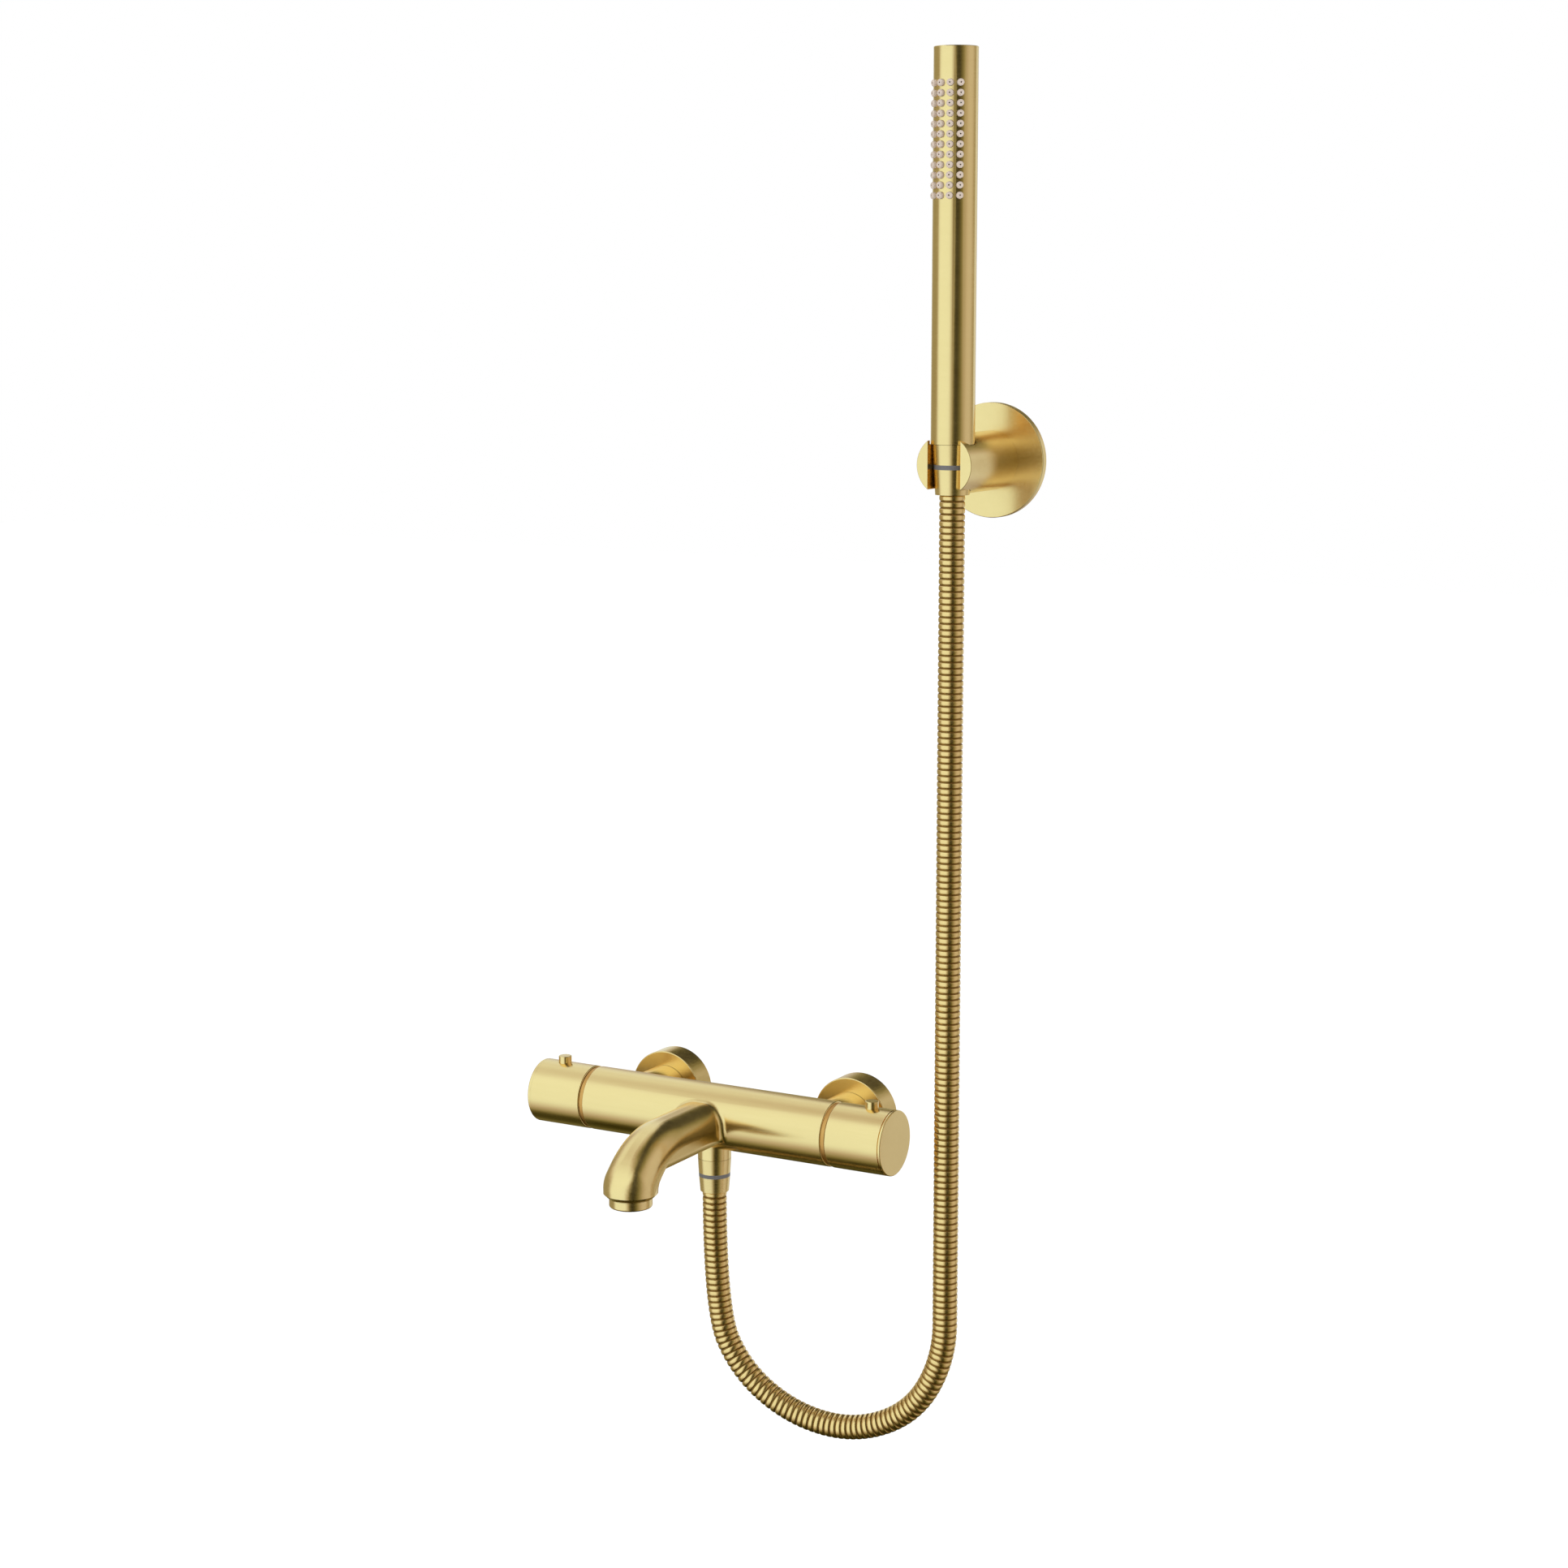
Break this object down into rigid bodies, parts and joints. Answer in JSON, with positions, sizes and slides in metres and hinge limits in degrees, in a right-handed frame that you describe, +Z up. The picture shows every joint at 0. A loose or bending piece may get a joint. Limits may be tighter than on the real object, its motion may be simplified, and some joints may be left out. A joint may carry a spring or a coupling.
{
  "type": "wall mounted bath faucet",
  "caption": "Exposed thermostatic bath mixer in brushed gold with a spout, end knobs, hose, slim hand shower and its wall holder.",
  "frame": {"origin": "on the wall plane, midway between the two water inlets", "axes": "+X right along the mixer, +Y into the wall, +Z up"},
  "size_m": [0.3499, 0.2332, 0.9308],
  "materials": {
    "brushed_gold": "brushed satin gold coating",
    "raw_brass": "machined",
    "dark_ring": "satin",
    "silicone": "soft silicone",
    "black_rubber": "moulded",
    "white_plastic": "moulded",
    "grey_plastic": "moulded",
    "steel": "machined",
    "ceramic": "ground",
    "hose_metal": "gold coated interlocked metal"
  },
  "bodies": {
    "root": {"aerator_gasket": "black_rubber", "aerator_housing": "brushed_gold", "aerator_insert": "white_plastic", "cartridge_retainers": "raw_brass", "cartridge_seals": "black_rubber", "check_spring_left": "steel", "check_spring_right": "steel", "check_valve_housings": "grey_plastic", "fixed_ceramic_disc": "ceramic", "flow_cartridge_housing": "grey_plastic", "flow_stop_ring": "brushed_gold", "holder_arm": "brushed_gold", "holder_flange": "brushed_gold", "holder_grub_screw": "steel", "holder_wall_bracket": "steel", "holder_wall_screws": "steel", "hose_ferrule": "brushed_gold", "hose_nut": "brushed_gold", "hose_nut_band": "dark_ring", "hose_outlet_nipple": "raw_brass", "hose_washer": "black_rubber", "inlet_tails": "raw_brass", "mixer_body": "brushed_gold", "shower_hose": "hose_metal", "temperature_stop_ring": "brushed_gold", "thermostat_return_spring": "steel", "thermostat_sleeve": "raw_brass", "union_nut_left": "brushed_gold", "union_nut_right": "brushed_gold", "union_washers": "black_rubber", "wall_cover_left": "brushed_gold", "wall_cover_right": "brushed_gold", "wall_plugs": "grey_plastic", "wall_union_left": "raw_brass", "wall_union_right": "raw_brass"},
    "temperature_dial": {"temperature_knob": "brushed_gold", "temperature_knob_cap": "brushed_gold", "temperature_knob_screw": "steel", "temperature_spindle": "raw_brass", "temperature_button_spring": "steel"},
    "temperature_button": {"temperature_stop_button": "brushed_gold"},
    "flow_dial": {"flow_knob": "brushed_gold", "flow_knob_cap": "brushed_gold", "flow_knob_screw": "steel", "flow_spindle": "raw_brass", "turning_ceramic_disc": "ceramic", "flow_button_spring": "steel"},
    "flow_button": {"flow_stop_button": "brushed_gold"},
    "thermostat_shuttle": {"thermostat_spool": "white_plastic", "wax_element": "raw_brass"},
    "check_left": {"check_poppet_left": "grey_plastic"},
    "check_right": {"check_poppet_right": "grey_plastic"},
    "hose_end": {"cone_nut": "brushed_gold", "cone_band": "dark_ring", "cone_ferrule": "brushed_gold"},
    "hand_shower": {"hand_shower_tube": "brushed_gold", "hand_shower_core": "white_plastic", "hand_shower_connector": "raw_brass", "nozzle_strip": "silicone"}
  },
  "joints": [
    {"name": "temperature_turn", "type": "hinge", "parent": "root", "child": "temperature_dial", "pos_m": [0.119, -0.075, 0.0049], "axis": [1, 0, 0], "range_deg": [-60, 150]},
    {"name": "temperature_button_press", "type": "slide", "parent": "temperature_dial", "child": "temperature_button", "axis": [0, 0, -1], "range_m": [0, 0.0025], "stiffness_N_per_m": 1500, "springref_m": -0.001, "deforming": ["temperature_button_spring"]},
    {"name": "flow_turn", "type": "hinge", "parent": "root", "child": "flow_dial", "pos_m": [-0.119, -0.075, 0.0049], "axis": [1, 0, 0], "range_deg": [-90, 90]},
    {"name": "flow_button_press", "type": "slide", "parent": "flow_dial", "child": "flow_button", "axis": [0, 0, -1], "range_m": [0, 0.0025], "stiffness_N_per_m": 1500, "springref_m": -0.001, "deforming": ["flow_button_spring"]},
    {"name": "thermostat_shuttle_slide", "type": "slide", "parent": "root", "child": "thermostat_shuttle", "axis": [1, 0, 0], "range_m": [-0.0009, 0.0022], "deforming": ["thermostat_return_spring"]},
    {"name": "check_left_open", "type": "slide", "parent": "root", "child": "check_left", "axis": [0, -1, 0], "range_m": [0, 0.003], "stiffness_N_per_m": 60, "springref_m": -0.001, "deforming": ["check_spring_left"]},
    {"name": "check_right_open", "type": "slide", "parent": "root", "child": "check_right", "axis": [0, -1, 0], "range_m": [0, 0.003], "stiffness_N_per_m": 60, "springref_m": -0.001, "deforming": ["check_spring_right"]},
    {"name": "hand_shower_lift", "type": "slide", "parent": "root", "child": "hose_end", "axis": [0, 0, 1], "range_m": [0, 0.045]},
    {"name": "hand_shower_turn", "type": "hinge", "parent": "hose_end", "child": "hand_shower", "pos_m": [0.1718, -0.0615, 0.47], "axis": [0, 0, 1], "continuous": true}
  ],
  "couplings": [
    {"joint": "thermostat_shuttle_slide", "follows": "temperature_turn", "m_per_rad": 0.0008}
  ]
}
